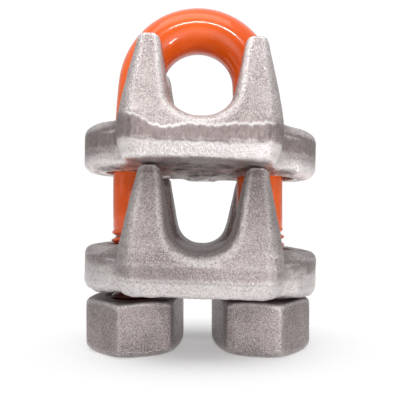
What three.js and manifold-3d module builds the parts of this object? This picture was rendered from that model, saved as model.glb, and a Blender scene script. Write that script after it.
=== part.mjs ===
// Double-saddle wire rope clip, 1/2 inch size: one painted U-bolt, two identical galvanized
// drop-forged saddles and two heavy hex nuts. The bow and the upper saddle hold one rope,
// the two saddles hold a second rope between them, and both nuts draw the stack together.
// Millimetres. X runs across the two legs, Y along the ropes, Z up the legs; the clip
// stands on its two nuts at Z = 0.
import * as THREE from "three";
import { mergeVertices } from "three/addons/utils/BufferGeometryUtils.js";
import Module from "manifold-3d";

// ---- driving dimensions -------------------------------------------------------------
const PITCH = 1.9538; // 13 threads per inch
const THREAD_CREST_R = 6.15; // rolled thread on the legs
const THREAD_ROOT_R = 5.1;
const THREAD_PLAY = 0.3; // radial play between leg thread and nut thread
const THREAD_SEGMENTS = 16; // facets per turn
const THREAD_TOP_Z = 29.4; // where the thread runs out on the leg
const LEG_END_Z = 1.0; // the legs stop just inside the nuts
const ROD_R = 5.69; // plain rod of the U-bolt
const LEG_HALF_SPACING = 15.36; // leg centre line from the bolt's middle
const BOW_R = 14.25; // centre-line radius of the bow
const BOW_CENTRE_Z = 64.1;
const FLARE_Z = 43.3; // below this the legs are parallel
const BOLT_SHIFT_X = -0.4; // the bolt sits off centre in the loose leg holes

const NUT_AF = 21.9;
const NUT_H = 12.7;
const NUT_ROUND_R = 12.3; // radius the hex corners are turned to
const NUT_CHAMFER = 1.1; // drop of the corner chamfer
const LEFT_NUT_TURN = -11.3; // degrees from the front to the nearest corner
const RIGHT_NUT_TURN = 16.0;

const SADDLE_ROLL = 1.85; // degrees, right side lower, from the play in the leg holes
const LOWER_Z = 13.1; // height of the lower saddle's underside at its middle
const UPPER_Z = 41.25;
const HOLE_R = 8.0;
const HOLE_HALF_SPACING = 15.4;
const SPOT_R = 13.3; // flat under each ear that the nut bears on
const SPOT_Z = 0.55;
const EAR_TOP = 12.0;
const EAR_REACH = 28.5;
const HALF_DEPTH = 24.45; // trim band, half the saddle's length along the rope
const SEAT_Z = 11.2; // bottom of the rope seat
const SADDLE_H = 29.9; // horn tips
const ORIGIN_SHIFT_X = -0.2066; // puts the origin midway between the ear ends

const wasm = await Module();
wasm.setup();

// ---- helpers ------------------------------------------------------------------------
function solid(geometry) {
  const g = geometry.clone();
  for (const name of Object.keys(g.attributes))
    if (name !== "position") g.deleteAttribute(name);
  const m = mergeVertices(g, 1e-4);
  return new wasm.Manifold(
    new wasm.Mesh({
      numProp: 3,
      vertProperties: new Float32Array(m.attributes.position.array),
      triVerts: new Uint32Array(m.index.array),
    }),
  );
}

function geometryOf(manifold) {
  const mesh = manifold.getMesh();
  const verts = [];
  for (let i = 0; i < mesh.vertProperties.length; i += mesh.numProp)
    verts.push(
      mesh.vertProperties[i],
      mesh.vertProperties[i + 1],
      mesh.vertProperties[i + 2],
    );
  const g = new THREE.BufferGeometry();
  g.setAttribute("position", new THREE.Float32BufferAttribute(verts, 3));
  g.setIndex(Array.from(mesh.triVerts));
  const flat = g.toNonIndexed();
  flat.computeVertexNormals();
  return flat;
}

const shapeOf = (points) =>
  new THREE.Shape(points.map(([a, b]) => new THREE.Vector2(a, b)));

// Outline in X and Z, pushed along Y from -half to +half.
function alongY(points, half) {
  const g = new THREE.ExtrudeGeometry(shapeOf(points), {
    depth: 2 * half,
    bevelEnabled: false,
  });
  g.rotateX(Math.PI / 2); // shape (x, y) -> (x, z), depth -> -Y
  g.translate(0, half, 0);
  return solid(g);
}

// Outline in Y and Z, pushed along X from -half to +half.
function alongX(points, half) {
  const g = new THREE.ExtrudeGeometry(shapeOf(points), {
    depth: 2 * half,
    bevelEnabled: false,
  });
  g.rotateX(Math.PI / 2);
  g.rotateZ(Math.PI / 2);
  g.translate(-half, 0, 0);
  return solid(g);
}

// Profile of radius and height turned about Z.
function turned(points, segments) {
  const g = new THREE.LatheGeometry(
    points.map(([r, z]) => new THREE.Vector2(r, z)),
    segments,
  );
  g.rotateX(Math.PI / 2); // lathe axis Y -> Z
  return solid(g);
}

const mirrored = (half) => [
  ...half,
  ...half
    .filter(([a]) => Math.abs(a) > 1e-6)
    .map(([a, b]) => [-a, b])
    .reverse(),
];

// A right-hand screw thread about Z: rows follow the helix, four to a pitch
// (crest, crest, root, root), and the last column of one turn meets the first
// column one pitch higher. The pointed ends are trimmed off afterwards.
function screw(crest, root, zLow, zHigh, phase) {
  const N = THREAD_SEGMENTS;
  const breaks = [
    [0.0, crest],
    [0.14, crest],
    [0.46, root],
    [0.68, root],
  ];
  const turns = Math.ceil((zHigh - zLow) / PITCH) + 2;
  const rows = turns * 4 + 1;
  const z0 = (Math.floor(zLow / PITCH) - 1) * PITCH;
  const pos = [];
  const id = (i, j) => (j === N ? (i + 4) * N : i * N + j);
  for (let i = 0; i < rows + 4; i++)
    for (let j = 0; j < N; j++) {
      const [f, r] = breaks[i % 4];
      const a = (2 * Math.PI * j) / N + phase;
      const z =
        z0 + PITCH * (Math.floor(i / 4) + f) + (PITCH * j) / N;
      pos.push(r * Math.cos(a), r * Math.sin(a), z);
    }
  const tris = [];
  for (let i = 0; i < rows - 1; i++)
    for (let j = 0; j < N; j++) {
      const a = id(i, j),
        b = id(i, j + 1),
        c = id(i + 1, j + 1),
        d = id(i + 1, j);
      tris.push(a, b, c, a, c, d);
    }
  const low = pos.length / 3;
  pos.push(0, 0, z0 - 2.5 * PITCH);
  const high = low + 1;
  pos.push(0, 0, z0 + PITCH * (turns + 3.5));
  const bottom = [];
  for (let j = 0; j < N; j++) bottom.push(id(0, j));
  for (let i = 4; i > 0; i--) bottom.push(id(i, 0));
  for (let k = 0; k < bottom.length; k++)
    tris.push(bottom[(k + 1) % bottom.length], bottom[k], low);
  const top = [];
  for (let j = 0; j < N; j++) top.push(id(rows - 1, j));
  for (let i = 4; i > 0; i--) top.push(id(rows - 1 + i, 0));
  for (let k = 0; k < top.length; k++)
    tris.push(top[k], top[(k + 1) % top.length], high);
  // the seam above the last row closes along column 0
  const g = new THREE.BufferGeometry();
  g.setAttribute("position", new THREE.Float32BufferAttribute(pos, 3));
  g.setIndex(tris);
  return solid(g.toNonIndexed());
}

// ---- U-bolt -------------------------------------------------------------------------
class BowPath extends THREE.Curve {
  constructor() {
    super();
    const pts = [];
    const flareTop = BOW_CENTRE_Z;
    for (const z of [27.5, 35, FLARE_Z - 2, FLARE_Z])
      pts.push([-LEG_HALF_SPACING, z]);
    for (const t of [0.25, 0.5, 0.75]) {
      const z = FLARE_Z + (flareTop - FLARE_Z) * t;
      const ease = t * t * (3 - 2 * t) * 0.5 + t * 0.5;
      pts.push([
        -(LEG_HALF_SPACING + (BOW_R - LEG_HALF_SPACING) * ease),
        z,
      ]);
    }
    for (let i = 0; i <= 12; i++) {
      const a = Math.PI - (Math.PI * i) / 24;
      pts.push([BOW_R * Math.cos(a), BOW_CENTRE_Z + BOW_R * Math.sin(a)]);
    }
    const right = pts
      .slice(0, -1)
      .reverse()
      .map(([x, z]) => [-x, z]);
    this.pts = [...pts, ...right];
    this.len = [0];
    for (let i = 1; i < this.pts.length; i++)
      this.len.push(
        this.len[i - 1] +
          Math.hypot(
            this.pts[i][0] - this.pts[i - 1][0],
            this.pts[i][1] - this.pts[i - 1][1],
          ),
      );
  }
  getPoint(t, target = new THREE.Vector3()) {
    const s = Math.min(Math.max(t, 0), 1) * this.len[this.len.length - 1];
    let i = 1;
    while (i < this.len.length - 1 && this.len[i] < s) i++;
    const f = (s - this.len[i - 1]) / (this.len[i] - this.len[i - 1]);
    const [x0, z0] = this.pts[i - 1],
      [x1, z1] = this.pts[i];
    return target.set(x0 + (x1 - x0) * f, 0, z0 + (z1 - z0) * f);
  }
}

function uBolt() {
  const ring = [];
  for (let i = 0; i < 20; i++) {
    const a = (2 * Math.PI * i) / 20;
    ring.push([ROD_R * Math.cos(a), ROD_R * Math.sin(a)]);
  }
  const bow = solid(
    new THREE.ExtrudeGeometry(shapeOf(ring), {
      steps: 46,
      extrudePath: new BowPath(),
      bevelEnabled: false,
    }),
  );
  // the threaded ends, trimmed to a chamfered point and a tapered run-out
  const envelope = turned(
    [
      [0, LEG_END_Z],
      [THREAD_ROOT_R - 0.3, LEG_END_Z],
      [THREAD_CREST_R + 0.2, LEG_END_Z + 1.4],
      [THREAD_CREST_R + 0.2, THREAD_TOP_Z - 1.6],
      [THREAD_ROOT_R, THREAD_TOP_Z + 0.2],
      [0, THREAD_TOP_Z + 0.2],
    ],
    32,
  );
  let bolt = bow;
  for (const side of [-1, 1]) {
    const thread = screw(
      THREAD_CREST_R,
      THREAD_ROOT_R,
      LEG_END_Z - 1,
      THREAD_TOP_Z + 1,
      0,
    ).intersect(envelope);
    bolt = bolt.add(thread.translate([side * LEG_HALF_SPACING, 0, 0]));
  }
  return bolt;
}

// ---- heavy hex nut, its thread in step with the leg's --------------------------------
function hexNut(turnDeg) {
  const R = NUT_AF / Math.sqrt(3);
  const hex = [];
  for (let k = 0; k < 6; k++) {
    const phi = ((turnDeg + 60 * k) * Math.PI) / 180; // from the front, to the right
    hex.push(new THREE.Vector2(R * Math.sin(phi), -R * Math.cos(phi)));
  }
  const prism = solid(
    new THREE.ExtrudeGeometry(new THREE.Shape(hex), {
      depth: NUT_H,
      bevelEnabled: false,
    }),
  );
  const flat = NUT_AF / 2 - 0.35;
  const barrel = turned(
    [
      [0, 0],
      [flat, 0],
      [NUT_ROUND_R, NUT_CHAMFER],
      [NUT_ROUND_R, NUT_H - NUT_CHAMFER],
      [flat, NUT_H],
      [0, NUT_H],
    ],
    36,
  );
  const bore = screw(
    THREAD_CREST_R + THREAD_PLAY,
    THREAD_ROOT_R + THREAD_PLAY,
    -2,
    NUT_H + 2,
    0,
  );
  const mouths = turned(
    [
      [0, -1],
      [THREAD_CREST_R + THREAD_PLAY + 1.3, -1],
      [THREAD_ROOT_R + THREAD_PLAY - 0.1, 1.5],
      [THREAD_ROOT_R + THREAD_PLAY - 0.1, NUT_H - 1.5],
      [THREAD_CREST_R + THREAD_PLAY + 1.3, NUT_H + 1],
      [0, NUT_H + 1],
    ],
    32,
  );
  return prism.intersect(barrel).subtract(bore).subtract(mouths);
}

// ---- saddle forging -----------------------------------------------------------------
function saddle() {
  // front outline of the middle block and the two horns
  const block = mirrored([
    [0, -1],
    [17.3, -1],
    [17.3, 9.6],
    [16.9, 13],
    [16.0, 19],
    [15.0, 24.5],
    [14.3, 28.0],
    [13.5, 29.3],
    [12.2, SADDLE_H],
    [0, SADDLE_H],
  ]);
  // the rope seat and the flared gap above it
  const seat = mirrored([
    [0, SEAT_Z],
    [2.2, SEAT_Z + 0.3],
    [4.4, SEAT_Z + 1.3],
    [5.9, SEAT_Z + 2.8],
    [6.8, SEAT_Z + 4.8],
    [7.4, SEAT_Z + 7.6],
    [8.2, SEAT_Z + 12],
    [8.9, SEAT_Z + 15.8],
    [9.6, SEAT_Z + 17.4],
    [10.8, SADDLE_H - 0.05],
    [10.8, SADDLE_H + 6],
    [0, SADDLE_H + 6],
  ]);
  // side outline: crowned underside, drafted rim, trim band, leaning horns, valley
  const lower = [
    [0, 0],
    [4, 0.05],
    [8, 0.55],
    [11, 1.35],
    [14, 2.0],
    [18, 2.3],
    [22.6, 2.45],
    [23.6, 4.2],
    [HALF_DEPTH, 6.4],
    [HALF_DEPTH, 9.7],
  ];
  const side = mirrored([
    ...lower,
    [23.5, 12.0],
    [21.6, 16.4],
    [19.2, 22.0],
    [17.0, 27.2],
    [16.1, 29.0],
    [14.6, SADDLE_H],
    [13.2, 29.7],
    [11.6, 28.6],
    [10.6, 26.4],
    [9.6, 20],
    [9.0, 14.2],
    [8.3, 12.4],
    [7.2, EAR_TOP - 0.4],
    [0, EAR_TOP - 0.4],
  ]);
  const slab = mirrored([
    ...lower,
    [23.7, 10.3],
    [22.4, EAR_TOP + 0.02],
    [0, EAR_TOP + 0.02],
  ]);
  // plan outline of the whole plate with its two ears
  const quarter = [
    [0, HALF_DEPTH + 0.5],
    [14.0, HALF_DEPTH + 0.5],
    [16.0, 23.7],
    [17.25, 21.4],
    [17.3, 16.4],
    [18.0, 14.0],
    [19.8, 12.4],
    [22.0, 11.5],
    [24.3, 9.8],
    [26.3, 7.4],
    [27.7, 4.6],
    [EAR_REACH, 1.6],
  ];
  const right = [...quarter, ...quarter.map(([x, y]) => [x, -y]).reverse()];
  const outline = [
    ...right.slice(1, -1),
    ...right
      .slice(1, -1)
      .map(([x, y]) => [-x, y])
      .reverse(),
  ];
  const plate = new THREE.ExtrudeGeometry(shapeOf(outline), {
    depth: EAR_TOP - SPOT_Z - 5.2,
    bevelEnabled: true,
    bevelThickness: 2.6,
    bevelSize: 2.0,
    bevelOffset: -2.0,
    bevelSegments: 3,
  });
  plate.translate(0, 0, SPOT_Z + 2.6);

  const column = new THREE.ExtrudeGeometry(shapeOf(outline), {
    depth: SADDLE_H + 2,
    bevelEnabled: false,
  });
  column.translate(0, 0, -1);

  let body = alongY(block, 30)
    .intersect(alongX(side, 20))
    .intersect(solid(column))
    .add(solid(plate).intersect(alongX(slab, 32)));
  body = body.subtract(alongY(seat, 32));
  const spot = turned(
    [
      [0, -2],
      [SPOT_R, -2],
      [SPOT_R, SPOT_Z],
      [0, SPOT_Z],
    ],
    40,
  );
  const hole = turned(
    [
      [0, -3],
      [HOLE_R, -3],
      [HOLE_R, EAR_TOP + 3],
      [0, EAR_TOP + 3],
    ],
    40,
  );
  for (const s of [-1, 1]) {
    body = body.subtract(spot.translate([s * HOLE_HALF_SPACING, 0, 0]));
    body = body.subtract(hole.translate([s * HOLE_HALF_SPACING, 0, 0]));
  }
  // the hole's edge leaves no sliver where it passes the horns
  return body;
}

// ---- assembly -----------------------------------------------------------------------
const clip = new THREE.Group();
clip.name = "wire_rope_clip";
clip.position.x = ORIGIN_SHIFT_X;

function part(name, manifold, color, roughness, metalness) {
  const mesh = new THREE.Mesh(
    geometryOf(manifold),
    new THREE.MeshStandardMaterial({ color, roughness, metalness }),
  );
  mesh.name = name;
  return mesh;
}

const bolt = part("u_bolt", uBolt(), 0xe2582a, 0.25, 0.0);
bolt.position.x = BOLT_SHIFT_X;
clip.add(bolt);

const forging = saddle();
for (const [name, z] of [
  ["lower_saddle", LOWER_Z],
  ["upper_saddle", UPPER_Z],
]) {
  const mesh = part(name, forging, 0xb4aaa7, 0.55, 0.85);
  mesh.position.z = z;
  mesh.rotation.y = (SADDLE_ROLL * Math.PI) / 180;
  clip.add(mesh);
}

for (const [name, side, turn] of [
  ["left_nut", -1, LEFT_NUT_TURN],
  ["right_nut", 1, RIGHT_NUT_TURN],
]) {
  const mesh = part(name, hexNut(turn), 0x8c837f, 0.5, 0.85);
  mesh.position.x = BOLT_SHIFT_X + side * LEG_HALF_SPACING;
  clip.add(mesh);
}

export default clip;
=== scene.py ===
import math

import bpy
import numpy as np
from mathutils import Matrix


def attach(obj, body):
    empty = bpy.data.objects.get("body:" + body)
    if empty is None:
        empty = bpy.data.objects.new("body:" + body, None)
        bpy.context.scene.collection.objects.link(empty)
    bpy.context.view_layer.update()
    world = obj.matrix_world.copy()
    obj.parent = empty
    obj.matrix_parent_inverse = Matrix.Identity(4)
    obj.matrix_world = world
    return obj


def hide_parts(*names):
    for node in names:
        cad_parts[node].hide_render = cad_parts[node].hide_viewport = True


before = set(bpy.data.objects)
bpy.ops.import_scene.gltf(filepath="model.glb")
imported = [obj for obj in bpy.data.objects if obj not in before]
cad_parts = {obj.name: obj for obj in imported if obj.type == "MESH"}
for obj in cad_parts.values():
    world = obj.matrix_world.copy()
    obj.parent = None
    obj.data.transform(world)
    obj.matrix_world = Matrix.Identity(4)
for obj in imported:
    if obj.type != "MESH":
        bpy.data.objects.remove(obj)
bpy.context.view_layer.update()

MM = 0.001

# ======================================================================================
# dimensions, in millimetres, the same as the frame's
# ======================================================================================
PITCH = 1.9538
CREST_R, ROOT_R = 6.12, 5.12
THREAD_TOP = 29.4
LEG_END = 1.0
ROD_R = 5.69
LEG_X = 15.36
BOW_R = 14.25
BOW_Z = 64.1
FLARE_Z = 43.3
SHIFT = -0.2066
BOLT_X = SHIFT - 0.4
NUT_AF, NUT_H = 21.9, 12.7
ROLL = math.radians(1.85)
LOWER_Z, UPPER_Z = 13.1, 41.25
HOLE_X, HOLE_R = 15.4, 8.0
SPOT_Z = 0.55


# ======================================================================================
# numeric helpers
# ======================================================================================
def smax(a, b, k):
    h = np.maximum(k - np.abs(a - b), 0.0) / k
    return np.maximum(a, b) + h * h * k * 0.25


def smin(a, b, k):
    return -smax(-a, -b, k)


def rmax(a, b, r):
    """Intersection with an edge rounded to radius r."""
    u, v = np.maximum(a + r, 0.0), np.maximum(b + r, 0.0)
    return np.minimum(np.maximum(a, b), -r) + np.sqrt(u * u + v * v)


def step(e0, e1, x):
    t = np.clip((x - e0) / (e1 - e0), 0.0, 1.0)
    return t * t * (3 - 2 * t)


def chaikin(points, times, closed=True):
    p = np.asarray(points, float)
    for _ in range(times):
        if closed:
            q = np.roll(p, -1, axis=0)
            a, b = 0.75 * p + 0.25 * q, 0.25 * p + 0.75 * q
            p = np.stack([a, b], 1).reshape(-1, 2)
        else:
            q = p[1:]
            a, b = 0.75 * p[:-1] + 0.25 * q, 0.25 * p[:-1] + 0.75 * q
            p = np.concatenate([p[:1], np.stack([a, b], 1).reshape(-1, 2), p[-1:]])
    return p


def poly_sdf(px, py, pts):
    """Signed distance to a closed outline, negative inside."""
    px, py = np.broadcast_arrays(px, py)
    d = np.full(px.shape, 1e9)
    s = np.ones(px.shape)
    n = len(pts)
    for i in range(n):
        ax, ay = pts[i]
        bx, by = pts[(i - 1) % n]
        ex, ey = bx - ax, by - ay
        wx, wy = px - ax, py - ay
        t = np.clip((wx * ex + wy * ey) / (ex * ex + ey * ey), 0, 1)
        dx, dy = wx - ex * t, wy - ey * t
        d = np.minimum(d, dx * dx + dy * dy)
        c1, c2, c3 = py >= ay, py < by, ex * wy > ey * wx
        s = np.where((c1 & c2 & c3) | (~c1 & ~c2 & ~c3), -s, s)
    return s * np.sqrt(d)


def _hash(ix, iy, iz, seed):
    h = (ix * 374761393 + iy * 668265263 + iz * 2147483647 + seed * 1274126177) & 0xFFFFFFFF
    h = ((h ^ (h >> 13)) * 1274126177) & 0xFFFFFFFF
    h = ((h ^ (h >> 16)) * 2246822519) & 0xFFFFFFFF
    h = h ^ (h >> 15)
    return (h & 0xFFFFFF) / float(0xFFFFFF) * 2.0 - 1.0


def noise(p, scale, seed):
    """Smooth value noise from -1 to 1; scale is the size of a lump."""
    q = p / scale
    i = np.floor(q).astype(np.int64)
    f = q - i
    u = f * f * f * (f * (f * 6 - 15) + 10)
    out = 0.0
    for dx in (0, 1):
        for dy in (0, 1):
            for dz in (0, 1):
                w = (
                    (u[:, 0] if dx else 1 - u[:, 0])
                    * (u[:, 1] if dy else 1 - u[:, 1])
                    * (u[:, 2] if dz else 1 - u[:, 2])
                )
                out = out + w * _hash(i[:, 0] + dx, i[:, 1] + dy, i[:, 2] + dz, seed)
    return out


def fbm(p, scale, seed, octaves=3):
    total, amp, norm = 0.0, 1.0, 0.0
    for o in range(octaves):
        turn = np.array(
            [[0.8, 0.6, 0.0], [-0.48, 0.64, 0.6], [0.36, -0.48, 0.8]]
        )
        p = p @ turn + 17.3 * (o + 1)
        total = total + amp * noise(p, scale / 2**o, seed + 101 * o)
        norm += amp
        amp *= 0.5
    return total / norm


def surface(field, lo, hi, h):
    """Quads of the zero surface of field(x, y, z), each vertex moved onto it."""
    lo, hi = np.asarray(lo, float), np.asarray(hi, float)
    n = np.ceil((hi - lo) / h).astype(int) + 1
    xs, ys, zs = (lo[a] + h * np.arange(n[a]) for a in range(3))
    f = field(xs[:, None, None], ys[None, :, None], zs[None, None, :])
    f = np.ascontiguousarray(np.broadcast_to(f, tuple(n)))
    f = np.where(np.abs(f) < 1e-9, 1e-9, f)
    inside = f < 0
    c = np.zeros(tuple(n - 1), np.int8)
    for a in (0, 1):
        for b in (0, 1):
            for d in (0, 1):
                c += inside[a : n[0] - 1 + a, b : n[1] - 1 + b, d : n[2] - 1 + d]
    active = (c > 0) & (c < 8)
    idx = np.full(active.shape, -1, np.int64)
    ii, jj, kk = np.nonzero(active)
    idx[ii, jj, kk] = np.arange(len(ii))
    acc = np.zeros((len(ii), 3))
    cnt = np.zeros(len(ii))
    corners = [(a, b, d) for a in (0, 1) for b in (0, 1) for d in (0, 1)]
    for p in corners:
        for axis in range(3):
            if p[axis]:
                continue
            q = list(p)
            q[axis] = 1
            fa = f[ii + p[0], jj + p[1], kk + p[2]]
            fb = f[ii + q[0], jj + q[1], kk + q[2]]
            cross = (fa < 0) != (fb < 0)
            t = np.where(cross, fa / np.where(cross, fa - fb, 1.0), 0.0)
            pos = np.tile(np.asarray(p, float), (len(ii), 1))
            pos[:, axis] += t
            acc += pos * cross[:, None]
            cnt += cross
    verts = (np.stack([ii, jj, kk], 1) + acc / cnt[:, None]) * h + lo
    quads = []
    for axis in range(3):
        u, v = (axis + 1) % 3, (axis + 2) % 3
        a_sl, b_sl = [slice(None)] * 3, [slice(None)] * 3
        a_sl[axis], b_sl[axis] = slice(0, n[axis] - 1), slice(1, n[axis])
        for w in (u, v):
            a_sl[w] = b_sl[w] = slice(1, n[w] - 1)
        a, b = inside[tuple(a_sl)], inside[tuple(b_sl)]
        at = np.stack(np.nonzero(a != b), 1)
        out = a[tuple(at.T)]
        at[:, u] += 1
        at[:, v] += 1
        ring = []
        for du, dv in ((-1, -1), (0, -1), (0, 0), (-1, 0)):
            cell = at.copy()
            cell[:, u] += du
            cell[:, v] += dv
            ring.append(idx[cell[:, 0], cell[:, 1], cell[:, 2]])
        ring = np.stack(ring, 1)
        ring[~out] = ring[~out][:, ::-1]
        quads.append(ring)
    quads = np.concatenate(quads)
    for _ in range(3):
        verts -= project(field, verts)
    return verts, quads


def gradient(field, v, e=0.02):
    x, y, z = v.T
    g = np.stack(
        [
            field(x + e, y, z) - field(x - e, y, z),
            field(x, y + e, z) - field(x, y - e, z),
            field(x, y, z + e) - field(x, y, z - e),
        ],
        1,
    ) / (2 * e)
    return g


def project(field, v):
    g = gradient(field, v)
    d = field(*v.T)
    move = g * (d / np.maximum((g * g).sum(1), 0.2))[:, None]
    size = np.linalg.norm(move, axis=1, keepdims=True)
    return move * np.minimum(1.0, 0.25 / np.maximum(size, 1e-9))


def vertex_normals(verts, quads):
    a, b, c, d = (verts[quads[:, k]] for k in range(4))
    fn = np.cross(c - a, d - b)
    vn = np.zeros_like(verts)
    for k in range(4):
        np.add.at(vn, quads[:, k], fn)
    return vn / np.maximum(np.linalg.norm(vn, axis=1, keepdims=True), 1e-12)


def relax(verts, quads, times, amount):
    """Evens out the mesh: each vertex moves towards the mean of its neighbours."""
    n = len(verts)
    src = quads.reshape(-1)
    dst = np.roll(quads, -1, axis=1).reshape(-1)
    deg = np.bincount(src, minlength=n) + np.bincount(dst, minlength=n)
    for _ in range(times):
        s = np.zeros_like(verts)
        for k in range(3):
            s[:, k] = np.bincount(src, verts[dst, k], n) + np.bincount(
                dst, verts[src, k], n
            )
        verts = verts + (s / np.maximum(deg, 1)[:, None] - verts) * amount
    return verts


def curvature(verts, quads, nrm, times=3):
    """Positive on crests and edges, negative in hollows, in 1/mm, a little smoothed."""
    n = len(verts)
    src = quads.reshape(-1)
    dst = np.roll(quads, -1, axis=1).reshape(-1)
    deg = np.maximum(np.bincount(src, minlength=n) + np.bincount(dst, minlength=n), 1)
    s = np.stack(
        [
            np.bincount(src, verts[dst, k], n) + np.bincount(dst, verts[src, k], n)
            for k in range(3)
        ],
        1,
    )
    d2 = ((verts[dst] - verts[src]) ** 2).sum(1)
    size = (np.bincount(src, d2, n) + np.bincount(dst, d2, n)) / deg
    c = -((s / deg[:, None] - verts) * nrm).sum(1) * 4 / np.maximum(size, 1e-9)
    for _ in range(times):
        c = 0.5 * c + 0.5 * (np.bincount(src, c[dst], n) + np.bincount(dst, c[src], n)) / deg
    return c


def make_mesh(name, verts_mm, faces, mat, masks=None, smooth=True):
    me = bpy.data.meshes.new(name)
    v = np.asarray(verts_mm, float) * MM
    if isinstance(faces, np.ndarray):
        k = faces.shape[1]
        me.vertices.add(len(v))
        me.vertices.foreach_set("co", v.astype(np.float32).ravel())
        me.loops.add(len(faces) * k)
        me.loops.foreach_set("vertex_index", faces.astype(np.int32).ravel())
        me.polygons.add(len(faces))
        me.polygons.foreach_set(
            "loop_start", np.arange(0, len(faces) * k, k, dtype=np.int32)
        )
        me.polygons.foreach_set("loop_total", np.full(len(faces), k, np.int32))
        me.update(calc_edges=True)
    else:
        me.from_pydata([tuple(x) for x in v], [], faces)
    me.validate()
    me.polygons.foreach_set("use_smooth", np.full(len(me.polygons), smooth))
    for key, values in (masks or {}).items():
        att = me.attributes.new(key, "FLOAT", "POINT")
        att.data.foreach_set("value", np.asarray(values, np.float32))
    me.update()
    ob = bpy.data.objects.new(name, me)
    bpy.context.scene.collection.objects.link(ob)
    me.materials.append(mat)
    return ob


# ======================================================================================
# camera, at the height of the gap between the saddles, level
# ======================================================================================
scene = bpy.context.scene
cam_data = bpy.data.cameras.new("camera")
cam_data.sensor_width = 36.0
cam_data.lens = 40.5
cam_data.shift_x = -0.00875
cam_data.shift_y = 0.04375
cam_data.clip_start = 0.005
cam_data.clip_end = 20.0
cam = bpy.data.objects.new("camera", cam_data)
cam.location = (0.0008, -0.1125, 0.0319)
cam.rotation_euler = (math.radians(90), 0, 0)
scene.collection.objects.link(cam)
scene.camera = cam


# ======================================================================================
# materials
# ======================================================================================
class Nodes:
    """A small helper that adds nodes to a material and links them."""

    def __init__(self, name):
        self.mat = bpy.data.materials.new(name)
        self.mat.use_nodes = True
        self.tree = self.mat.node_tree
        self.tree.nodes.clear()
        self.out = self.add("ShaderNodeOutputMaterial")
        self.bsdf = self.add("ShaderNodeBsdfPrincipled")
        self.link(self.bsdf.outputs[0], self.out.inputs[0])

    def add(self, kind, **values):
        node = self.tree.nodes.new(kind)
        for key, value in values.items():
            setattr(node, key, value)
        return node

    def link(self, a, b):
        self.tree.links.new(a, b)

    def coords(self):
        return self.add("ShaderNodeTexCoord").outputs["Object"]

    def noise(self, vector, scale, detail=2.0, rough=0.5, distortion=0.0):
        n = self.add("ShaderNodeTexNoise")
        n.inputs["Scale"].default_value = scale
        n.inputs["Detail"].default_value = detail
        n.inputs["Roughness"].default_value = rough
        n.inputs["Distortion"].default_value = distortion
        self.link(vector, n.inputs["Vector"])
        return n.outputs["Fac"]

    def voronoi(self, vector, scale, feature="F1"):
        n = self.add("ShaderNodeTexVoronoi")
        n.feature = feature
        n.inputs["Scale"].default_value = scale
        self.link(vector, n.inputs["Vector"])
        return n.outputs["Distance"]

    def attribute(self, name):
        n = self.add("ShaderNodeAttribute")
        n.attribute_name = name
        return n.outputs["Fac"]

    def ramp(self, fac, stops):
        n = self.add("ShaderNodeValToRGB")
        while len(n.color_ramp.elements) < len(stops):
            n.color_ramp.elements.new(0.5)
        for e, (pos, col) in zip(n.color_ramp.elements, stops):
            e.position = pos
            e.color = (*col, 1.0) if len(col) == 3 else col
        self.link(fac, n.inputs["Fac"])
        return n.outputs["Color"]

    def math(self, op, a, b=None, clamp=False):
        n = self.add("ShaderNodeMath")
        n.operation = op
        n.use_clamp = clamp
        for i, v in enumerate((a, b)):
            if v is None:
                continue
            if isinstance(v, (int, float)):
                n.inputs[i].default_value = v
            else:
                self.link(v, n.inputs[i])
        return n.outputs[0]

    def span(self, v, a, b, c, d):
        n = self.add("ShaderNodeMapRange")
        self.link(v, n.inputs["Value"])
        for key, x in zip(("From Min", "From Max", "To Min", "To Max"), (a, b, c, d)):
            n.inputs[key].default_value = x
        return n.outputs[0]

    def mix(self, fac, a, b, blend="MIX"):
        n = self.add("ShaderNodeMix")
        n.data_type = "RGBA"
        n.blend_type = blend
        for sock, v in ((n.inputs[0], fac), (n.inputs[6], a), (n.inputs[7], b)):
            if isinstance(v, (int, float)):
                sock.default_value = v
            elif isinstance(v, tuple):
                sock.default_value = (*v, 1.0)
            else:
                self.link(v, sock)
        return n.outputs[2]

    def bump(self, height, strength, distance, normal=None):
        n = self.add("ShaderNodeBump")
        n.inputs["Strength"].default_value = strength
        n.inputs["Distance"].default_value = distance
        self.link(height, n.inputs["Height"])
        if normal is not None:
            self.link(normal, n.inputs["Normal"])
        return n.outputs[0]

    def set(self, **values):
        for key, v in values.items():
            sock = self.bsdf.inputs[key.replace("_", " ")]
            if isinstance(v, (int, float)):
                sock.default_value = v
            elif isinstance(v, tuple):
                sock.default_value = (*v, 1.0)
            else:
                self.link(v, sock)


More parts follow.
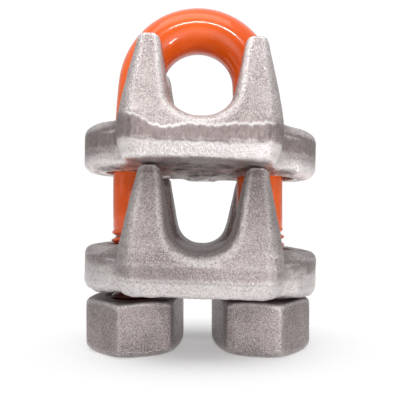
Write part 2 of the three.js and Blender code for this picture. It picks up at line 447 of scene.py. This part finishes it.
def galvanized(name, light, dark, bevel_reflection_gain, grain, metal, rough_lo, rough_hi):
    """Zinc over a forging: matte grey with a sparkling grain, painted shade in the hollows and in patches underneath,
    painted highlights on edges, lips and the parting line, a painted floor reflection on the lower bevels.
    """
    m = Nodes(name)
    at = m.coords()
    grain_fine = m.noise(at, 4000 * grain, 2.0, 0.6)
    grain_mid = m.noise(at, 2000 * grain, 3.0, 0.6)
    lumps = m.noise(at, 520 * grain, 2.0, 0.5)
    cells = m.voronoi(at, 1500 * grain)
    blotch = m.noise(at, 95, 4.0, 0.6, 0.6)
    cloud = m.noise(at, 34, 2.0, 0.5)
    base = m.ramp(
        blotch,
        [(0.34, dark), (0.5, tuple((a + b) / 2 for a, b in zip(light, dark))), (0.66, light)],
    )
    # dark pits and bright crystals, a fraction of a millimetre across
    base = m.mix(
        m.span(grain_mid, 0.54, 0.36, 0.0, 0.5), base, tuple(c * 0.62 for c in dark)
    )
    base = m.mix(
        m.span(grain_fine, 0.46, 0.64, 0.0, 0.65),
        base,
        (light[0] * 1.36, light[0] * 1.27, light[0] * 1.25),
    )
    # the trimmed band: metal drawn out by the shearing stroke, painted darker as painted shade on its upright face
    band_shade = m.attribute("band_shade")
    scale = m.add("ShaderNodeVectorMath", operation="MULTIPLY")
    scale.inputs[1].default_value = (1.0, 1.0, 0.5)
    m.link(at, scale.inputs[0])
    drawn = m.noise(scale.outputs[0], 1500, 2.0, 0.6)
    band_shade_colour = m.ramp(
        drawn,
        [(0.36, tuple(c * 0.62 for c in dark)), (0.62, tuple(c * 0.95 for c in dark))],
    )
    base = m.mix(m.math("MULTIPLY", band_shade, 0.8), base, band_shade_colour)
    # lower bevels: a painted reflection of the white floor in front, in bright zinc
    bevel_reflection = m.attribute("bevel_reflection")
    base = m.mix(
        m.math("MULTIPLY", bevel_reflection, m.span(grain_mid, 0.34, 0.58, 0.42, 0.8)),
        base,
        (light[0] * bevel_reflection_gain, light[0] * bevel_reflection_gain * 0.95, light[0] * bevel_reflection_gain * 0.94),
    )
    # painted shade in the recesses, a darker, browner zinc; crests and edges get a painted highlight further on
    hollow_shade = m.attribute("hollow_shade")
    base = m.mix(
        m.math("MULTIPLY", m.span(hollow_shade, 0.1, 1.0, 0.0, 1.0), 0.55),
        base,
        (dark[0] * 0.55, dark[1] * 0.48, dark[2] * 0.46),
    )
    # the underside: patches of painted shade and of painted floor reflection
    patchy_shade_glow = m.attribute("patchy_shade_glow")
    patches = m.noise(at, 210, 4.0, 0.65, 0.4)
    base = m.mix(
        m.math("MULTIPLY", patchy_shade_glow, m.span(patches, 0.40, 0.50, 0.85, 0.0)),
        base,
        (dark[0] * 0.36, dark[1] * 0.31, dark[2] * 0.32),
    )
    base = m.mix(
        m.math("MULTIPLY", patchy_shade_glow, m.span(patches, 0.50, 0.60, 0.0, 0.85)),
        base,
        tuple(min(1.0, c * 1.7) for c in light),
    )
    # painted highlight on crests and edges, the band's foot and the seat lip
    bright = m.attribute("edge")
    base = m.mix(
        m.math("MULTIPLY", m.math("MULTIPLY", bright, 0.9), m.span(grain_mid, 0.28, 0.6, 0.25, 1.0)),
        base,
        (min(1.0, light[0] * 1.75), min(1.0, light[0] * 1.66), min(1.0, light[0] * 1.64)),
    )
    # a painted highlight along the thin lip of the parting line
    base = m.mix(m.math("MULTIPLY", m.attribute("flash_highlight"), 0.78), base, (0.97, 0.93, 0.91))
    height = m.math(
        "ADD",
        m.math("ADD", m.math("MULTIPLY", grain_fine, 0.5), m.math("MULTIPLY", lumps, 0.55)),
        m.math("ADD", m.math("MULTIPLY", grain_mid, 1.0), m.math("MULTIPLY", cells, 0.3)),
    )
    rough = m.span(
        m.math("ADD", m.math("MULTIPLY", cloud, 0.5), m.math("MULTIPLY", grain_mid, 0.5)),
        0.35,
        0.65,
        rough_hi,
        rough_lo,
    )
    m.set(
        Base_Color=base,
        Metallic=metal,
        Roughness=rough,
        Normal=m.bump(height, 0.62, 0.00024),
    )
    return m.mat


def enamel(name):
    """Thick glossy orange paint with a faint orange-peel surface, a few dull rubs and painted shade in the hollows.
    """
    m = Nodes(name)
    at = m.coords()
    peel = m.noise(at, 420, 2.0, 0.5)
    wave = m.noise(at, 95, 2.0, 0.5)
    tint = m.noise(at, 60, 3.0, 0.55)
    base = m.ramp(
        tint,
        [(0.3, (0.78, 0.090, 0.006)), (0.52, (0.86, 0.115, 0.008)), (0.75, (0.92, 0.145, 0.010))],
    )
    worn = m.attribute("wear")
    flake = m.span(m.noise(at, 620, 4.0, 0.7), 0.5, 0.6, 0.0, 1.0)
    base = m.mix(m.math("MULTIPLY", m.math("MULTIPLY", worn, flake), 0.85), base, (0.17, 0.045, 0.028))
    # painted shade: the thread roots, the legs in and near the nuts and below the upper saddle go dark
    hollow_shade_fac = m.attribute("hollow_shade")
    base = m.mix(m.math("MULTIPLY", hollow_shade_fac, 0.93), base, (0.055, 0.017, 0.012))
    rough = m.math(
        "ADD", m.span(tint, 0.3, 0.7, 0.22, 0.32), m.math("MULTIPLY", worn, 0.3), clamp=True
    )
    height = m.math("ADD", m.math("MULTIPLY", peel, 0.3), wave)
    m.set(
        Base_Color=base,
        Metallic=0.0,
        Roughness=rough,
        IOR=1.46,
        Specular_IOR_Level=0.25,
        Coat_Weight=0.55,
        Coat_Roughness=0.045,
        Coat_IOR=1.5,
        Normal=m.bump(height, 0.2, 0.0003),
    )
    return m.mat


zinc = galvanized("zinc_forging", (0.51, 0.440, 0.432), (0.31, 0.251, 0.245), 1.36, 1.0, 0.86, 0.30, 0.46)
zinc_low = galvanized("zinc_forging_duller", (0.375, 0.319, 0.313), (0.212, 0.169, 0.165), 2.0, 1.0, 0.86, 0.31, 0.48)
zinc_nut = galvanized("zinc_nut", (0.35, 0.290, 0.284), (0.160, 0.127, 0.125), 1.4, 1.0, 0.86, 0.30, 0.46)
paint = enamel("orange_enamel")


# ======================================================================================
# saddle forging
# ======================================================================================
CROWN_Y = np.array([0, 2, 4, 6, 8, 10, 12, 14, 16, 18, 20, 22.6, 26, 32])
CROWN_Z = np.array([0, 0.0, 0.05, 0.22, 0.55, 1.0, 1.55, 1.98, 2.2, 2.3, 2.36, 2.45, 2.6, 2.8])

# half outline of the block and its horns seen from the front
FRONT_HALF = [
    (0.0, -4),
    (13.6, -4),
    (14.9, -0.2),
    (16.6, 3.6),
    (17.25, 6.2),
    (17.25, 9.6),
    (16.95, 12.6),
    (16.3, 17),
    (15.65, 21),
    (14.95, 25),
    (14.35, 28.2),
    (13.6, 33.0),
    (0.0, 33.0),
]
FRONT = np.array(FRONT_HALF + [(-x, z) for x, z in FRONT_HALF[::-1] if x > 0.01])
SEAT_HALF = [
    (0.0, 11.2),
    (2.1, 11.4),
    (4.0, 12.2),
    (5.6, 13.5),
    (6.7, 15.4),
    (7.3, 17.8),
    (7.85, 20.8),
    (8.4, 24.0),
    (8.9, 27.0),
    (9.5, 30.0),
    (10.4, 34.0),
    (10.4, 44.0),
    (0.0, 44.0),
]
SEAT = np.array(SEAT_HALF + [(-x, z) for x, z in SEAT_HALF[::-1] if x > 0.01])

SIDE_HALF = [
    (0.0, -4),
    (21.6, -4),
    (22.3, 1.9),
    (24.2, 6.0),
    (24.2, 9.2),
    (23.5, 12.0),
    (21.6, 16.4),
    (19.3, 22.0),
    (17.4, 26.7),
    (16.4, 29.85),
    (12.0, 29.85),
    (10.7, 26.6),
    (9.9, 21.0),
    (9.2, 15.2),
    (8.5, 12.8),
    (6.8, 11.8),
    (4.0, 11.5),
    (0.0, 11.45),
]
SIDE = np.array(SIDE_HALF + [(-y, z) for y, z in SIDE_HALF[::-1] if y > 0.01])
FRONT = chaikin(FRONT, 1)
SEAT = chaikin(SEAT, 1)
EAR_R = 13.2

# the torn upper edge of the trimmed parting line, front and back
FLASH_X = [-18, -14, -11.7, -9.75, -7.15, -4.2, -2.6, 0, 2.9, 5, 7.4, 10, 13.6, 18]
FLASH_Z = [11.4, 10.9, 10.2, 8.9, 8.3, 8.7, 9.3, 9.1, 8.9, 9.2, 9.5, 9.4, 9.7, 9.8]


def flash_line(x, front):
    u = np.where(front, x, 1.5 - x)
    return (
        np.interp(u, FLASH_X, FLASH_Z)
        + 0.10 * np.sin(2.9 * u + 0.7)
        + 0.09 * np.sin(5.3 * u + 2.0)
        + 0.05 * np.sin(9.7 * u)
    )


def band_foot(x, front):
    u = np.where(front, x, 1.5 - x)
    return 5.9 + 0.16 * np.sin(1.9 * u + 0.4) + 0.12 * np.sin(4.1 * u) + 0.07 * np.sin(8.3 * u + 1)


def box_plan(ax, ay):
    qx, qy = ax - 12.9, ay - 20.05
    return np.hypot(np.maximum(qx, 0), np.maximum(qy, 0)) + np.minimum(np.maximum(qx, qy), 0) - 4.4


def saddle_field(trimmed):
    """Signed distance of the forging; a trimmed one keeps a ragged parting line."""

    def field(x, y, z):
        ax, ay = np.abs(x), np.abs(y)
        rho = np.sqrt((ax - HOLE_X) ** 2 + y * y)
        crown = np.interp(ay, CROWN_Y, CROWN_Z)
        # the two round ears
        ear = rmax(rho - EAR_R, z - 12.05 + 0.004 * np.maximum(ax - 14, 0) ** 2, 1.9)
        ear = rmax(ear, SPOT_Z - z, 3.0)
        # the block between them with its four horns
        soft = np.interp(z, [9, 16, 24, 29], [4.4, 3.0, 2.2, 1.5])
        block = rmax(poly_sdf(x, z, FRONT), poly_sdf(y, z, SIDE), soft)
        body = smin(ear, block, np.interp(z, [3, 9, 12], [4.5, 6.5, 3.2]))
        body = smax(body, crown - z, 0.8)
        if trimmed:
            plan = box_plan(ax, ay - 0.25)
            front = y < 0
            ledge = np.maximum(plan + 0.05, z - flash_line(x, front))
            ledge = np.maximum(ledge, band_foot(x, front) - z)
            ledge = np.maximum(ledge, 20.0 - ay)
            ledge = smax(ledge, ax - 15.2, 3.0)
            body = smin(body, ledge * 0.9, 0.12)
        lip = np.interp(z, [11, 18, 26], [2.1, 1.7, 1.3])
        body = rmax(body, -poly_sdf(x, z, SEAT), lip)
        body = rmax(body, HOLE_R - rho, 0.6)
        spot = smax(rho - 13.2, z - SPOT_Z, 0.6)
        return smax(body, -spot, 0.8)

    return field


def shape_saddle(name, seed, trimmed):
    field = saddle_field(trimmed)
    h = 0.36
    verts, quads = surface(field, (-29.6, -25.4, -0.9), (29.6, 25.4, 31.1), h)
    verts = relax(verts, quads, 1, 0.3)
    for _ in range(2):
        verts -= project(field, verts)
    nrm = vertex_normals(verts, quads)
    curve = curvature(verts, quads, nrm)
    x, y, z = verts.T
    ax, ay = np.abs(x), np.abs(y)
    hole = np.sqrt((ax - HOLE_X) ** 2 + y * y)
    plan = np.minimum(box_plan(ax, ay - 0.1), hole - EAR_R)
    # forging lumps: slow waves, then pimples of scale
    slow = fbm(verts, 9.0, seed, 2)
    mid = fbm(verts, 2.6, seed + 7, 2)
    fine = fbm(verts, 1.0, seed + 13, 2)
    keep = step(HOLE_R + 0.2, HOLE_R + 1.5, hole)
    bearing = step(0.75, 0.5, z) * step(13.4, 12.4, hole)
    keep *= 1 - bearing
    under = step(4.5, 2.0, z)
    rim = step(-0.9, -0.3, plan)
    tips = 1 - step(28.6, 29.4, z)
    amp = (0.11 * slow + 0.05 * mid + 0.028 * fine) * keep * tips
    amp = amp + under * keep * (0.17 * mid + 0.06 * fine + 0.10 * np.abs(mid))
    front = y < 0
    top_line, foot_line = flash_line(x, front), band_foot(x, front)
    band = step(foot_line - 0.3, foot_line + 0.3, z) * step(top_line + 0.2, top_line - 0.2, z) * rim
    on_block = step(19.0, 21.0, ay)
    tear = fbm(verts * [1, 1, 0.3], 1.6, seed + 31, 3)
    ragged = np.exp(-(((z - foot_line) / 1.1) ** 2)) * rim
    weight = 1.0 if trimmed else 0.35
    amp = amp + weight * (band * 0.05 * tear + ragged * on_block * 0.13 * fbm(verts, 1.3, seed + 41, 2))
    verts = verts + nrm * np.minimum(amp, 0.22 if trimmed else 0.22)[:, None]
    verts[:, 1] = np.clip(verts[:, 1], -24.45, 24.45)
    # the scale may not carry the ear ends past their true reach
    past = np.maximum(np.abs(verts[:, 0]) - 22.0, 0)
    squeeze = min(1.0, (28.46 - 22.0) / past.max())
    verts[:, 0] -= np.sign(verts[:, 0]) * past * (1 - squeeze)
    # masks for the material
    # painted shade in the hollows, from the curvature
    hollow_shade = np.clip((-curve - 0.05) * 2.2, 0, 1)
    # painted highlight on crests and edges
    edge = np.clip((curve - 0.12) * 1.6, 0, 1) * (1 - bearing)
    broken = step(-0.35, 0.15, fbm(verts * [1, 0.2, 0.2], 3.0, seed + 55, 2))
    # painted highlight along the top of the parting line
    flash_highlight = np.exp(-(((z - top_line) / 0.27) ** 2)) * step(-1.3, -0.6, plan) * on_block
    foot = np.exp(-(((z - foot_line + 0.1) / 0.4) ** 2)) * rim * on_block * broken
    if trimmed:
        near = step(foot_line - 1.2, foot_line - 0.4, z) * step(top_line + 1.2, top_line + 0.5, z)
        edge = edge * (1 - near * rim * step(17.0, 20.0, ay))
        hollow_shade = hollow_shade * (1 - near * rim * step(17.0, 20.0, ay))
    edge = np.clip(edge + weight * foot * (0.5 if trimmed else 0.1), 0, 1)
    flash_highlight *= (1.0 if trimmed else 0.0) * step(15.6, 14.2, ax)
    # painted highlight along the front and back lips of the rope seat
    lip = step(2.8, 1.0, np.abs(poly_sdf(x, z, SEAT))) * step(16.5, 13.0, z) * step(18.5, 21.0, ay)
    edge = np.maximum(edge, lip * (0.8 - 0.35 * np.clip(mid, 0, 1)))
    # the lower bevels, which get a painted reflection of the floor
    bevel_reflection = step(1.2, 2.6, z) * step(6.0, 5.2, z) * step(-3.4, -1.6, plan)
    ears = step(17.5, 20.0, ax) * step(-3.4, -1.6, plan)
    if trimmed:
        bevel_reflection = np.maximum(bevel_reflection * (1 - ears), bevel_reflection * step(4.6, 4.0, z))
    else:
        low = step(8.6, 6.8, z + 1.6 * mid) * step(0.6, 1.6, z)
        bevel_reflection = np.maximum(bevel_reflection, ears * low * (0.75 + 0.5 * mid))
    # the trimmed band, painted darker as painted shade
    band_shade = np.clip(band, 0, 1) * weight
    # the underside, for the patches of painted shade and painted floor reflection
    patchy_shade_glow = step(2.6, 1.2, z) * (1 - bearing)
    return verts, quads, {
        "hollow_shade": hollow_shade,
        "edge": edge,
        "band_shade": band_shade,
        "bevel_reflection": bevel_reflection,
        "patchy_shade_glow": patchy_shade_glow,
        "flash_highlight": flash_highlight,
    }


def place_saddle(verts, z0):
    c, s = math.cos(ROLL), math.sin(ROLL)
    x, y, z = verts.T
    return np.stack([x * c + z * s + SHIFT, y, -x * s + z * c + z0], 1)


for name, z0, seed, trimmed in (("lower_saddle", LOWER_Z, 11, False), ("upper_saddle", UPPER_Z, 47, True)):
    v, q, masks = shape_saddle(name, seed, trimmed)
    metal = zinc if trimmed else zinc_low
    ob = make_mesh(name.replace("_saddle", "_saddle_forging"), place_saddle(v, z0), q, metal, masks)
    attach(ob, name)
    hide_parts(name)


# ======================================================================================
# nuts
# ======================================================================================
def thread_radius(theta, z, crest, root):
    f = np.mod(z / PITCH - theta / (2 * np.pi) + 0.07, 1.0)
    f = np.minimum(f, 1 - f) * 2  # 0 at the crest, 1 at the root
    t = np.clip((f - 0.14) / 0.66, 0, 1)
    t = t * t * (3 - 2 * t) * 0.4 + t * 0.6
    return crest + (root - crest) * t


def nut_field(turn_deg, worn):
    def field(x, y, z):
        d = None
        for k in range(6):
            phi = math.radians(turn_deg + 30 + 60 * k)
            dd = x * math.sin(phi) - y * math.cos(phi) - NUT_AF / 2
            d = dd if d is None else smax(d, dd, 0.4)
        rho = np.sqrt(x * x + y * y)
        # corner cones give the arcs on the flats; the free face is more rounded
        top = (rho - 10.75) * 0.5 + (z - NUT_H) * 0.866
        low = (rho - 10.35) * 0.5 - z * 0.866
        d = smax(d, top, 0.5)
        d = smax(d, low, 1.1)
        d = smax(d, rho - 12.28, 0.8)
        d = smax(d, z - NUT_H, 0.5)
        d = smax(d, -z, 0.35)
        theta = np.arctan2(y, x)
        bore = thread_radius(theta, z, CREST_R + 0.28, ROOT_R + 0.28)
        bore = bore + np.maximum(1.6 - z, 0) * 0.8 + np.maximum(z - NUT_H + 1.6, 0) * 0.8
        return smax(d, (bore - rho) * 0.8, 0.25)

    return field


def shape_nut(turn_deg, seed):
    field = nut_field(turn_deg, 0)
    verts, quads = surface(field, (-13, -13, -0.6), (13, 13, 13.3), 0.30)
    verts = relax(verts, quads, 1, 0.3)
    for _ in range(2):
        verts -= project(field, verts)
    nrm = vertex_normals(verts, quads)
    curve = curvature(verts, quads, nrm, 2)
    x, y, z = verts.T
    rho = np.hypot(x, y)
    outer = step(8.0, 9.5, rho) * step(0.0, 0.6, z)
    amp = outer * (
        0.06 * fbm(verts, 6.0, seed, 2)
        + 0.03 * fbm(verts, 1.6, seed + 3, 2)
        + 0.012 * fbm(verts, 0.7, seed + 9, 2)
    )
    verts = verts + nrm * amp[:, None]
    # painted shade in the hollows, from the curvature
    hollow_shade = np.clip((-curve - 0.1) * 2.0, 0, 1)
    # painted highlight on the nut's corners and edges
    edge = np.clip((curve - 0.2) * 0.9, 0, 0.75) * step(7.5, 9.0, rho)
    # round the bore: patches of painted shade and painted light
    patchy_shade_glow = step(8.0, 6.5, rho) * 0.9
    return verts, quads, {"hollow_shade": hollow_shade, "edge": edge, "patchy_shade_glow": patchy_shade_glow}


for name, side, turn, seed in (("left_nut", -1, -11.3, 71), ("right_nut", 1, 16.0, 93)):
    v, q, masks = shape_nut(turn, seed)
    v[:, 0] += BOLT_X + side * LEG_X
    ob = make_mesh(name.replace("_nut", "_hex_nut"), v, q, zinc_nut, masks)
    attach(ob, name)
    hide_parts(name)


# ======================================================================================
# U-bolt: one skin over both threaded legs and the bow
# ======================================================================================
def bolt_centreline():
    """Points from the left leg's end over the bow and down the right leg."""
    pts = []
    rows = int(round((THREAD_TOP + 1.5 - LEG_END) / PITCH * 15))
    zs = list(np.linspace(LEG_END, THREAD_TOP + 1.5, rows))
    zs += list(np.linspace(THREAD_TOP + 1.5, FLARE_Z - 1, 14)[1:])
    for z in zs:
        pts.append((-LEG_X, z))
    n = 26
    for i in range(1, n):
        t = i / n
        ease = t * t * (3 - 2 * t) * 0.5 + t * t * 0.5
        pts.append((-(LEG_X + (BOW_R - LEG_X) * ease), FLARE_Z - 1 + (BOW_Z - FLARE_Z + 1) * t))
    m = 64
    for i in range(m + 1):
        a = math.pi - math.pi / 2 * i / m
        pts.append((BOW_R * math.cos(a), BOW_Z + BOW_R * math.sin(a)))
    pts += [(-x, z) for x, z in pts[:-1][::-1]]
    return np.array(pts)


def make_bolt():
    path = bolt_centreline()
    # the bent bar is smooth: even out the joins between its stretches
    fixed = path[:, 1] < FLARE_Z - 8
    for _ in range(30):
        mid = 0.5 * (np.roll(path, 1, 0) + np.roll(path, -1, 0))
        path = np.where(fixed[:, None], path, path * 0.5 + mid * 0.5)
    n = len(path)
    tang = np.gradient(path, axis=0)
    tang /= np.linalg.norm(tang, axis=1, keepdims=True)
    out = np.stack([-tang[:, 1], tang[:, 0]], 1)  # outward from the bow, in X and Z
    seg = 56
    ang = np.arange(seg) * 2 * np.pi / seg
    arc = np.concatenate([[0], np.cumsum(np.linalg.norm(np.diff(path, axis=0), axis=1))])
    # how far into the bend each ring is: the bar flattens and spreads there
    height = path[:, 1]
    bend = step(BOW_Z - 6, BOW_Z + 9, height)
    verts = np.zeros((n, seg, 3))
    leg_shade = np.zeros((n, seg))
    wear = np.zeros((n, seg))
    side = np.where(np.arange(n) < n // 2, -1, 1)
    for i in range(n):
        ca, sa = np.cos(ang), np.sin(ang)
        r_out = ROD_R * (1 - 0.075 * bend[i])
        r_in = ROD_R * (1 - 0.06 * bend[i])
        r_y = ROD_R * (1 + 0.045 * bend[i])
        rr = np.where(ca > 0, r_out, r_in)
        dx, dy = rr * ca, r_y * sa
        leg = height[i] < THREAD_TOP + 1.5 and abs(abs(path[i, 0]) - LEG_X) < 0.02
        if leg:
            # direction of this vertex seen from the leg's axis
            wx, wy = out[i, 0] * ca, sa
            theta = np.arctan2(wy, wx)
            z = height[i]
            r = thread_radius(theta, np.full(seg, z), CREST_R, ROOT_R)
            fade = step(THREAD_TOP + 0.4, THREAD_TOP - 2.2, z)
            base = ROD_R + (r - ROD_R) * fade
            base = np.minimum(base, ROOT_R - 0.35 + np.maximum(z - LEG_END, 0) * 0.95)
            # painted shade in the thread roots
            leg_shade[i] = np.clip((ROD_R - 0.15 - base) / 0.5, 0, 1) * fade
            # painted shade on the legs inside the nuts and in the gap up to the saddle
            leg_shade[i] = np.maximum(leg_shade[i], step(17.0, 15.0, z))
            wear[i] = np.clip((base - 5.75) / 0.35, 0, 1) * fade * 0.8 + 0.5 * step(
                LEG_END + 4, LEG_END, z
            )
            dx, dy = base * ca, base * sa
        # painted shade on the legs below the upper saddle
        leg_shade[i] = np.maximum(leg_shade[i], 0.2 * step(48, 38, height[i]))
        verts[i, :, 0] = path[i, 0] + out[i, 0] * dx
        verts[i, :, 1] = dy
        verts[i, :, 2] = path[i, 1] + out[i, 1] * dx
    flat = verts.reshape(-1, 3)
    quads = []
    i = np.arange(n - 1)[:, None] * seg
    j = np.arange(seg)[None, :]
    k = (j + 1) % seg
    quads = np.stack(
        [
            (i + j).ravel(),
            (i + seg + j).ravel(),
            (i + seg + k).ravel(),
            (i + k).ravel(),
        ],
        1,
    )
    # end caps: two inner rings and a centre fan made of quads that meet in a point
    cap_v, cap_q = [], []
    base_id = len(flat)
    cap_shade, att_w = [], []
    for end in (0, n - 1):
        ring = np.arange(seg) + end * seg
        centre = np.array([path[end, 0], 0, path[end, 1]])
        prev = ring
        for f, dz in ((0.93, -0.12), (0.6, -0.16), (0.25, -0.17)):
            new = np.arange(seg) + base_id + len(cap_v)
            for p in flat[ring]:
                q = centre + (p - centre) * f
                q[2] += dz
                cap_v.append(q)
                cap_shade.append(0.0)
                att_w.append(0.9)
            for a in range(seg):
                b = (a + 1) % seg
                quad = (prev[a], prev[b], new[b], new[a])
                cap_q.append(quad if end == 0 else quad[::-1])
            prev = new
        tip = base_id + len(cap_v)
        cap_v.append(centre + [0, 0, -0.17])
        cap_shade.append(0.0)
        att_w.append(0.9)
        for a in range(0, seg, 2):
            b, c = (a + 1) % seg, (a + 2) % seg
            quad = (prev[a], prev[b], prev[c], tip)
            cap_q.append(quad if end == 0 else quad[::-1])
    all_v = np.concatenate([flat, np.array(cap_v)])
    all_q = np.concatenate([quads, np.array(cap_q)])
    # faces out: test one and turn all round if needed
    a, b, c, d = (all_v[all_q[:, t]] for t in range(4))
    vol = np.einsum("ij,ij->i", a, np.cross(b, c)).sum() + np.einsum(
        "ij,ij->i", a, np.cross(c, d)
    ).sum()
    if vol < 0:
        all_q = all_q[:, ::-1].copy()
    nrm = vertex_normals(all_v, all_q)
    z = all_v[:, 2]
    lump = step(THREAD_TOP + 1, THREAD_TOP + 5, z)
    amp = lump * (0.05 * fbm(all_v, 9.0, 5, 2) + 0.012 * fbm(all_v, 2.5, 6, 2))
    all_v = all_v + nrm * amp[:, None]
    all_v[:, 0] += BOLT_X
    masks = {
        "hollow_shade": np.concatenate([leg_shade.ravel(), cap_shade]),
        "wear": np.concatenate([wear.ravel(), att_w]),
    }
    return make_mesh("bent_bolt", all_v, all_q, paint, masks)


bolt = make_bolt()
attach(bolt, "u_bolt")
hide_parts("u_bolt")


# ======================================================================================
# floor and light
# ======================================================================================
WORLD_FRONT, WORLD_BACK, WORLD_TOP = 0.17, 0.42, 0.50
KEY_W, FRONT_W, SIDE_W, LOW_W, SPOT_W = 0.80, 0.60, 0.12, 0.072, 0.050


def quad_light(name, loc, target, size, size_y, power, colour=(1, 1, 1)):
    data = bpy.data.lights.new(name, "AREA")
    data.shape = "RECTANGLE"
    data.size, data.size_y = size, size_y
    data.energy = power
    data.color = colour
    ob = bpy.data.objects.new(name, data)
    ob.location = loc
    from mathutils import Vector

    ob.rotation_mode = "QUATERNION"
    ob.rotation_quaternion = (Vector(target) - Vector(loc)).to_track_quat("-Z", "Y")
    scene.collection.objects.link(ob)
    return ob


floor_mat = Nodes("studio_floor")
spot = floor_mat.coords()
tone = floor_mat.noise(spot, 3.0, 2.0, 0.5)
white = floor_mat.ramp(tone, [(0.3, (0.93, 0.93, 0.93)), (0.7, (0.95, 0.95, 0.95))])
floor_mat.set(Base_Color=white, Roughness=0.9, Specular_IOR_Level=0.1)
# away from the clip the sweep glows plain white; towards the clip it fades to lit white in an oval round the nuts, a
# painted shadow area
shadow_oval = floor_mat.add("ShaderNodeVectorMath", operation="MULTIPLY")
shadow_oval.inputs[1].default_value = (0.66, 1.0, 1.0)
floor_mat.link(spot, shadow_oval.inputs[0])
reach = floor_mat.add("ShaderNodeVectorMath", operation="LENGTH")
floor_mat.link(shadow_oval.outputs[0], reach.inputs[0])
glow = floor_mat.add("ShaderNodeEmission")
glow.inputs["Color"].default_value = (1.0, 1.0, 1.0, 1.0)
glow.inputs["Strength"].default_value = 1.02
blend = floor_mat.add("ShaderNodeMixShader")
floor_mat.link(floor_mat.span(reach.outputs["Value"], 0.011, 0.033, 0.25, 1.0), blend.inputs[0])
floor_mat.link(floor_mat.bsdf.outputs[0], blend.inputs[1])
floor_mat.link(glow.outputs[0], blend.inputs[2])
floor_mat.link(blend.outputs[0], floor_mat.out.inputs[0])
floor_me = bpy.data.meshes.new("studio_floor")
floor_me.from_pydata(
    [(-6, -3, 0), (6, -3, 0), (6, 12, 0), (-6, 12, 0)], [], [(0, 1, 2, 3)]
)
floor_me.materials.append(floor_mat.mat)
floor = bpy.data.objects.new("studio_floor", floor_me)
scene.collection.objects.link(floor)
# the clip keeps standing on its nuts, so the floor keeps their level
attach(floor, "lower_saddle")

# a white studio: plain white behind, a dim room in front, a paler ceiling
world = bpy.data.worlds.new("studio")
scene.world = world
world.use_nodes = True
wt = world.node_tree
wt.nodes.clear()
w_out = wt.nodes.new("ShaderNodeOutputWorld")
w_seen = wt.nodes.new("ShaderNodeBackground")
w_seen.inputs["Color"].default_value = (1, 1, 1, 1)
w_seen.inputs["Strength"].default_value = 1.02
w_lit = wt.nodes.new("ShaderNodeBackground")
w_mix = wt.nodes.new("ShaderNodeMixShader")
w_path = wt.nodes.new("ShaderNodeLightPath")
w_coord = wt.nodes.new("ShaderNodeTexCoord")
w_sep = wt.nodes.new("ShaderNodeSeparateXYZ")
w_y = wt.nodes.new("ShaderNodeMapRange")
w_z = wt.nodes.new("ShaderNodeMapRange")
w_add = wt.nodes.new("ShaderNodeMath")
w_add.operation = "ADD"
wt.links.new(w_coord.outputs["Generated"], w_sep.inputs[0])
wt.links.new(w_sep.outputs["Y"], w_y.inputs["Value"])
wt.links.new(w_sep.outputs["Z"], w_z.inputs["Value"])
for node, vals in ((w_y, (-0.35, 0.75, WORLD_FRONT, WORLD_BACK)), (w_z, (0.1, 0.9, 0.0, WORLD_TOP))):
    node.interpolation_type = "SMOOTHSTEP"
    for key, v in zip(("From Min", "From Max", "To Min", "To Max"), vals):
        node.inputs[key].default_value = v
wt.links.new(w_y.outputs[0], w_add.inputs[0])
wt.links.new(w_z.outputs[0], w_add.inputs[1])
wt.links.new(w_add.outputs[0], w_lit.inputs["Strength"])
w_lit.inputs["Color"].default_value = (1, 1, 1, 1)
wt.links.new(w_path.outputs["Is Camera Ray"], w_mix.inputs[0])
wt.links.new(w_lit.outputs[0], w_mix.inputs[1])
wt.links.new(w_seen.outputs[0], w_mix.inputs[2])
wt.links.new(w_mix.outputs[0], w_out.inputs[0])

quad_light("key_top", (-0.04, -0.20, 0.46), (0, 0, 0.05), 0.38, 0.26, KEY_W)
quad_light("front_strip", (0.005, -0.50, 0.285), (0, 0, 0.075), 0.085, 0.032, FRONT_W)
quad_light("side_right", (0.42, -0.10, 0.20), (0, 0, 0.04), 0.20, 0.30, SIDE_W)
quad_light("side_left", (-0.42, -0.16, 0.20), (0, 0, 0.04), 0.20, 0.30, SIDE_W)
# light thrown up from the table in front of the clip
for low in (
    quad_light("table_front", (0.0, -0.125, 0.002), (0, -0.02, 0.05), 0.22, 0.10, LOW_W),
    quad_light("table_right", (0.056, -0.101, 0.002), (0, 0, 0.07), 0.022, 0.013, SPOT_W),
):
    low.visible_camera = False

scene.view_settings.view_transform = "Standard"
scene.view_settings.look = "None"
scene.view_settings.exposure = 0.0
scene.view_settings.gamma = 1.0
